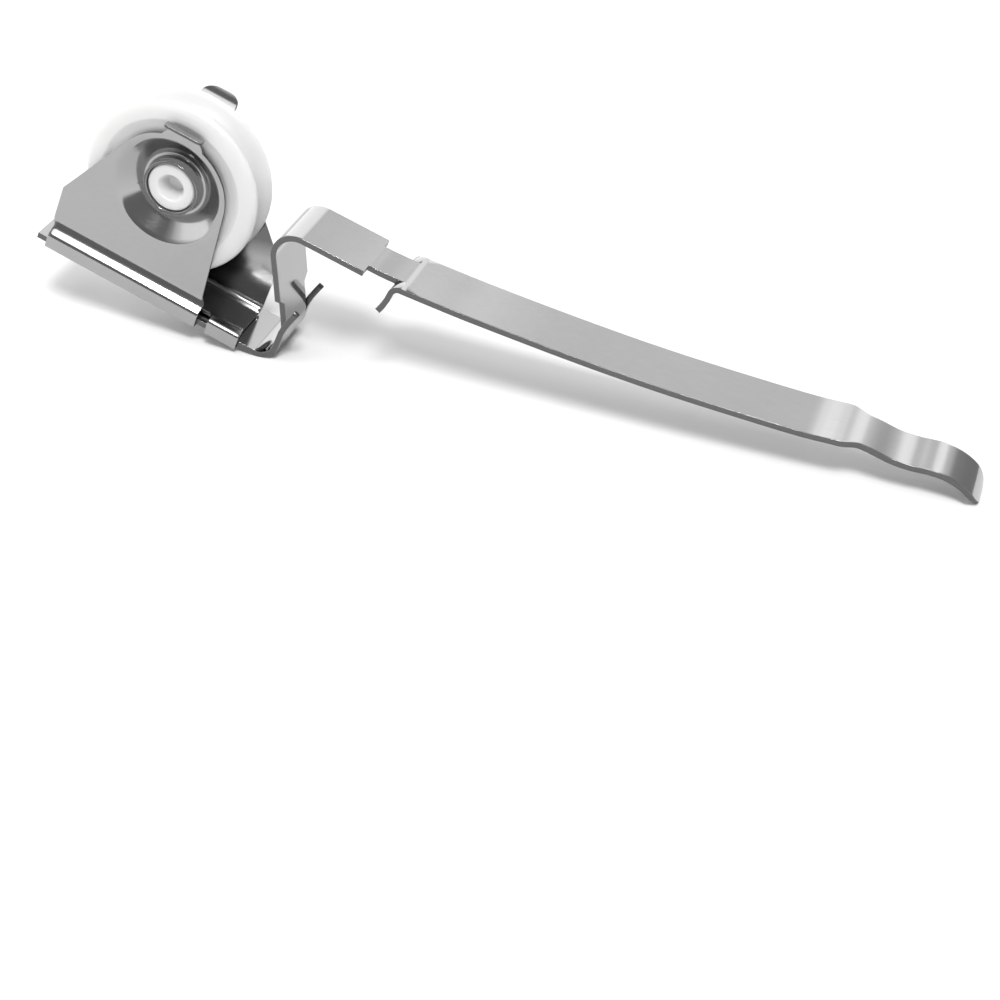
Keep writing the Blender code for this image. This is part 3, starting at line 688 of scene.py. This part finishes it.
# Its modifiers are applied and the mesh is baked into the row frame.
bpy.context.view_layer.update()
ev = spring.evaluated_get(bpy.context.evaluated_depsgraph_get())
done = bpy.data.meshes.new_from_object(ev)
spring.modifiers.clear()
spring.data = done
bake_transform(spring)
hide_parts("leaf_spring_foot", "leaf_spring_arm")

# ----------------------------------------------------------------------- stage
floor_me = bpy.data.meshes.new("floor")
floor_me.from_pydata([(-9, -9, 0), (9, -9, 0), (9, 9, 0), (-9, 9, 0)], [], [(0, 1, 2, 3)])
floor = bpy.data.objects.new("floor", floor_me)
bpy.context.scene.collection.objects.link(floor)
fm = bpy.data.materials.new("pale_floor")
fm.use_nodes = True
fp = fm.node_tree.nodes["Principled BSDF"]
fp.inputs["Base Color"].default_value = (0.80, 0.80, 0.80, 1)
fp.inputs["Roughness"].default_value = 0.9
fp.inputs["Specular IOR Level"].default_value = 0.0
floor_me.materials.append(fm)

world = bpy.data.worlds.new("studio")
bpy.context.scene.world = world
world.use_nodes = True
nt = world.node_tree
bg = nt.nodes["Background"]
tc = nt.nodes.new("ShaderNodeTexCoord")
sep = nt.nodes.new("ShaderNodeSeparateXYZ")
nt.links.new(tc.outputs["Generated"], sep.inputs[0])


def ramp(stops, source):
    r = nt.nodes.new("ShaderNodeValToRGB")
    r.color_ramp.interpolation = 'EASE'
    els = r.color_ramp.elements
    els[0].position, els[0].color = stops[0][0], (stops[0][1],) * 3 + (1,)
    els[1].position, els[1].color = stops[-1][0], (stops[-1][1],) * 3 + (1,)
    for pos, v in stops[1:-1]:
        e = els.new(pos)
        e.color = (v, v, v, 1)
    nt.links.new(source, r.inputs["Fac"])
    return r


# Panels round the object: brightness against the compass direction (0 is the back,
# 90 the right, 180 the front), and one wide ceiling above them.
turn_of = nt.nodes.new("ShaderNodeMath")
turn_of.operation = 'ARCTAN2'
nt.links.new(sep.outputs["X"], turn_of.inputs[0])
nt.links.new(sep.outputs["Y"], turn_of.inputs[1])
share = nt.nodes.new("ShaderNodeMapRange")
share.inputs["From Min"].default_value = -math.pi
share.inputs["From Max"].default_value = math.pi
nt.links.new(turn_of.outputs[0], share.inputs["Value"])
PANELS = ((-180, 0.26), (-163, 0.28), (-150, 0.55), (-136, 1.15), (-124, 1.75), (-100, 1.80), (-62, 1.75),
          (-35, 2.00), (-14, 2.00), (-5.2, 2.00), (-4.1, 1.60), (-3.0, 1.22), (1.5, 1.20), (5, 2.00), (8.5, 2.10), (13, 1.25),
          (16.5, 1.00), (21, 0.48), (32, 0.36), (60, 0.65), (100, 0.60), (122, 0.28), (180, 0.26))
walls = ramp([((d + 180) / 360, v) for d, v in PANELS], share.outputs["Result"])
height = ramp(((0.0, 0.0), (0.70, 0.0), (0.83, 1.0), (1.0, 1.0)), sep.outputs["Z"])
ceiling = ramp(((0.0, 0.25), (0.955, 0.25), (0.98, 2.0), (1.0, 2.0)), sep.outputs["Z"])
mixc = nt.nodes.new("ShaderNodeMix")
mixc.data_type = 'RGBA'
nt.links.new(height.outputs["Color"], mixc.inputs[0])
nt.links.new(walls.outputs["Color"], mixc.inputs[6])
nt.links.new(ceiling.outputs["Color"], mixc.inputs[7])
# A soft box high at the front, above the reach of the dished cones.
aim = nt.nodes.new("ShaderNodeVectorMath")
aim.operation = 'DOT_PRODUCT'
aim.inputs[1].default_value = (0.106, -0.290, 0.951)
nt.links.new(tc.outputs["Generated"], aim.inputs[0])
soft = nt.nodes.new("ShaderNodeMapRange")
soft.interpolation_type = 'SMOOTHSTEP'
soft.inputs["From Min"].default_value = 0.945
soft.inputs["From Max"].default_value = 0.975
nt.links.new(aim.outputs["Value"], soft.inputs["Value"])
mixs = nt.nodes.new("ShaderNodeMix")
mixs.data_type = 'RGBA'
mixs.inputs[7].default_value = (2.5, 2.5, 2.5, 1)
nt.links.new(soft.outputs["Result"], mixs.inputs[0])
nt.links.new(mixc.outputs[2], mixs.inputs[6])
nt.links.new(mixs.outputs[2], bg.inputs["Color"])
bg.inputs["Strength"].default_value = 1.0


def area(name, at, aim, size, power):
    li = bpy.data.lights.new(name, 'AREA')
    li.shape = 'DISK'
    li.size = size
    li.energy = power
    ob = bpy.data.objects.new(name, li)
    ob.location = at
    ob.rotation_euler = (Vector(aim) - Vector(at)).to_track_quat('-Z', 'Y').to_euler()
    bpy.context.scene.collection.objects.link(ob)
    return ob


area("key", (0.20, -0.52, 0.95), (0.0, 0.0, 0.01), 0.34, 9.2)

# ---------------------------------------------------------------------- camera
cam_data = bpy.data.cameras.new("camera")
cam_data.sensor_width = 36.0
cam_data.lens = 76.05
cam_data.clip_start = 0.01
cam_data.clip_end = 20.0
cam = bpy.data.objects.new("camera", cam_data)
bpy.context.scene.collection.objects.link(cam)
right = Vector((0.877412, 0.308732, 0.367196))
down = Vector((0.479027, -0.522146, -0.705618))
ahead = Vector((-0.026117, 0.795015, -0.606028))
turn = Matrix((right, -down, -ahead)).transposed().to_4x4()
cam.matrix_world = LAY @ (Matrix.Translation(Vector((0.0841598, -0.3003848, 0.2013305))) @ turn)
bpy.context.scene.camera = cam
bpy.context.scene.view_settings.view_transform = 'Standard'
bpy.context.scene.view_settings.look = 'None'
